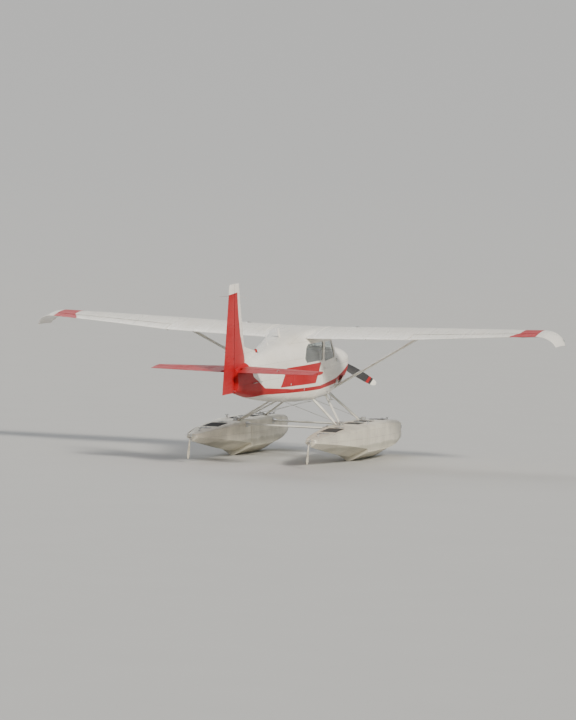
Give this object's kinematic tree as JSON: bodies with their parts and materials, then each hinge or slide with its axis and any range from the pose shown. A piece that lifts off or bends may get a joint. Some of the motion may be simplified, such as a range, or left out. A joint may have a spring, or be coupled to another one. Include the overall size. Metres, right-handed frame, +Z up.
{
  "type": "floatplane",
  "caption": "High-wing single-engine floatplane on long stepped floats, with drooped tips, braced wing, hollow cabin, and working control surfaces, doors, propeller and water rudders.",
  "frame": {"origin": "on the ground plane under the float keels, at the middle of the overall length, on the centre plane", "axes": "+X forward along the floats, +Y to port (left wing), +Z up"},
  "size_m": [8.0648, 10.92, 3.6135],
  "materials": {
    "white_paint": "gloss enamel over aluminium skin",
    "red_paint": "gloss enamel over aluminium skin",
    "float_metal": "weathered painted aluminium",
    "strut_paint": "gloss enamel on streamlined tube",
    "fitting_metal": "satin",
    "engine_metal": "matt",
    "propeller_metal": "satin with painted tips",
    "panel_plastic": "matt",
    "seat_fabric": "woven",
    "window_clear": "clear acrylic"
  },
  "bodies": {
    "airframe": {"belly_pan": "white_paint", "boot_cowl": "white_paint", "cabin_roof": "white_paint", "side_panel_left": "white_paint", "side_panel_right": "white_paint", "tailcone": "white_paint", "windshield": "window_clear", "window_rear_left": "window_clear", "window_rear_right": "window_clear", "instrument_panel": "panel_plastic", "seat_front_left": "seat_fabric", "seat_front_right": "seat_fabric", "seat_rear": "seat_fabric", "cowl_upper": "white_paint", "cowl_lower": "white_paint", "engine": "engine_metal", "wing_left": "white_paint", "wing_right": "white_paint", "wingtip_left": "white_paint", "wingtip_right": "white_paint", "wing_strut_left": "strut_paint", "wing_strut_right": "strut_paint", "stabilizer": "white_paint", "fin": "white_paint", "float_left": "float_metal", "float_right": "float_metal", "spreader_bar_front": "strut_paint", "spreader_bar_rear": "strut_paint", "float_strut_front_left": "strut_paint", "float_strut_front_right": "strut_paint", "float_strut_rear_left": "strut_paint", "float_strut_rear_right": "strut_paint", "float_strut_diagonal_left": "strut_paint", "float_strut_diagonal_right": "strut_paint"},
    "propeller": {"propeller": "propeller_metal", "spinner": "white_paint"},
    "rudder": {"rudder": "red_paint"},
    "elevator": {"elevator": "white_paint"},
    "aileron_left": {"aileron_left": "white_paint"},
    "aileron_right": {"aileron_right": "white_paint"},
    "flap_left": {"flap_left": "white_paint"},
    "flap_right": {"flap_right": "white_paint"},
    "door_left": {"door_left": "white_paint", "door_window_left": "window_clear"},
    "door_right": {"door_right": "white_paint", "door_window_right": "window_clear"},
    "baggage_door": {"baggage_door": "white_paint"},
    "water_rudder_post_left": {"water_rudder_post_left": "fitting_metal"},
    "water_rudder_post_right": {"water_rudder_post_right": "fitting_metal"},
    "water_rudder_blade_left": {"water_rudder_blade_left": "fitting_metal"},
    "water_rudder_blade_right": {"water_rudder_blade_right": "fitting_metal"}
  },
  "joints": [
    {"name": "propeller_spin", "type": "hinge", "parent": "airframe", "child": "propeller", "pos_m": [3.488, 0, 1.9439], "axis": [0.999, 0, 0.0436], "continuous": true},
    {"name": "rudder_turn", "type": "hinge", "parent": "airframe", "child": "rudder", "pos_m": [-3.4404, 0, 1.6414], "axis": [-0.0436, 0, 0.999], "range_deg": [-24, 24]},
    {"name": "elevator_tilt", "type": "hinge", "parent": "airframe", "child": "elevator", "pos_m": [-3.21197, 0, 1.91162], "axis": [0, 1, 0], "range_deg": [-23, 25]},
    {"name": "aileron_left_tilt", "type": "hinge", "parent": "airframe", "child": "aileron_left", "pos_m": [0.5114, 2.556, 2.56784], "axis": [0.091, 0.9944, 0.0537], "range_deg": [-17, 17]},
    {"name": "aileron_right_tilt", "type": "hinge", "parent": "airframe", "child": "aileron_right", "pos_m": [0.5114, -2.556, 2.56784], "axis": [-0.091, 0.9944, -0.0537], "range_deg": [-17, 17]},
    {"name": "flap_left_lower", "type": "hinge", "parent": "airframe", "child": "flap_left", "pos_m": [0.58019, 2.538, 2.50818], "axis": [0.0013, -0.9995, -0.0302], "range_deg": [0, 40]},
    {"name": "flap_right_lower", "type": "hinge", "parent": "airframe", "child": "flap_right", "pos_m": [0.58019, -2.538, 2.50818], "axis": [-0.0013, -0.9995, 0.0302], "range_deg": [0, 40]},
    {"name": "door_left_open", "type": "hinge", "parent": "airframe", "child": "door_left", "pos_m": [2.03124, 0.55, 1.53997], "axis": [0.0436, 0, -0.999], "range_deg": [0, 65]},
    {"name": "door_right_open", "type": "hinge", "parent": "airframe", "child": "door_right", "pos_m": [2.03124, -0.55, 1.53997], "axis": [-0.0436, 0, 0.999], "range_deg": [0, 65]},
    {"name": "baggage_door_open", "type": "hinge", "parent": "airframe", "child": "baggage_door", "pos_m": [-0.18689, 0.492, 1.56324], "axis": [0.0436, 0, -0.999], "range_deg": [0, 90]},
    {"name": "water_rudder_left_steer", "type": "hinge", "parent": "airframe", "child": "water_rudder_post_left", "pos_m": [-2.074, 1.225, 0.438], "axis": [0, 0, 1], "range_deg": [-29, 29]},
    {"name": "water_rudder_right_steer", "type": "hinge", "parent": "airframe", "child": "water_rudder_post_right", "pos_m": [-2.074, -1.225, 0.438], "axis": [0, 0, 1], "range_deg": [-29, 29]},
    {"name": "water_rudder_left_lift", "type": "hinge", "parent": "water_rudder_post_left", "child": "water_rudder_blade_left", "pos_m": [-2.152, 1.225, 0.47], "axis": [0, 1, 0], "range_deg": [0, 95]},
    {"name": "water_rudder_right_lift", "type": "hinge", "parent": "water_rudder_post_right", "child": "water_rudder_blade_right", "pos_m": [-2.152, -1.225, 0.47], "axis": [0, 1, 0], "range_deg": [0, 95]}
  ],
  "couplings": [
    {"joint": "aileron_right_tilt", "follows": "aileron_left_tilt", "ratio": -1},
    {"joint": "flap_right_lower", "follows": "flap_left_lower", "ratio": 1},
    {"joint": "water_rudder_left_steer", "follows": "rudder_turn", "ratio": 1.2},
    {"joint": "water_rudder_right_steer", "follows": "rudder_turn", "ratio": 1.2},
    {"joint": "water_rudder_right_lift", "follows": "water_rudder_left_lift", "ratio": 1}
  ]
}
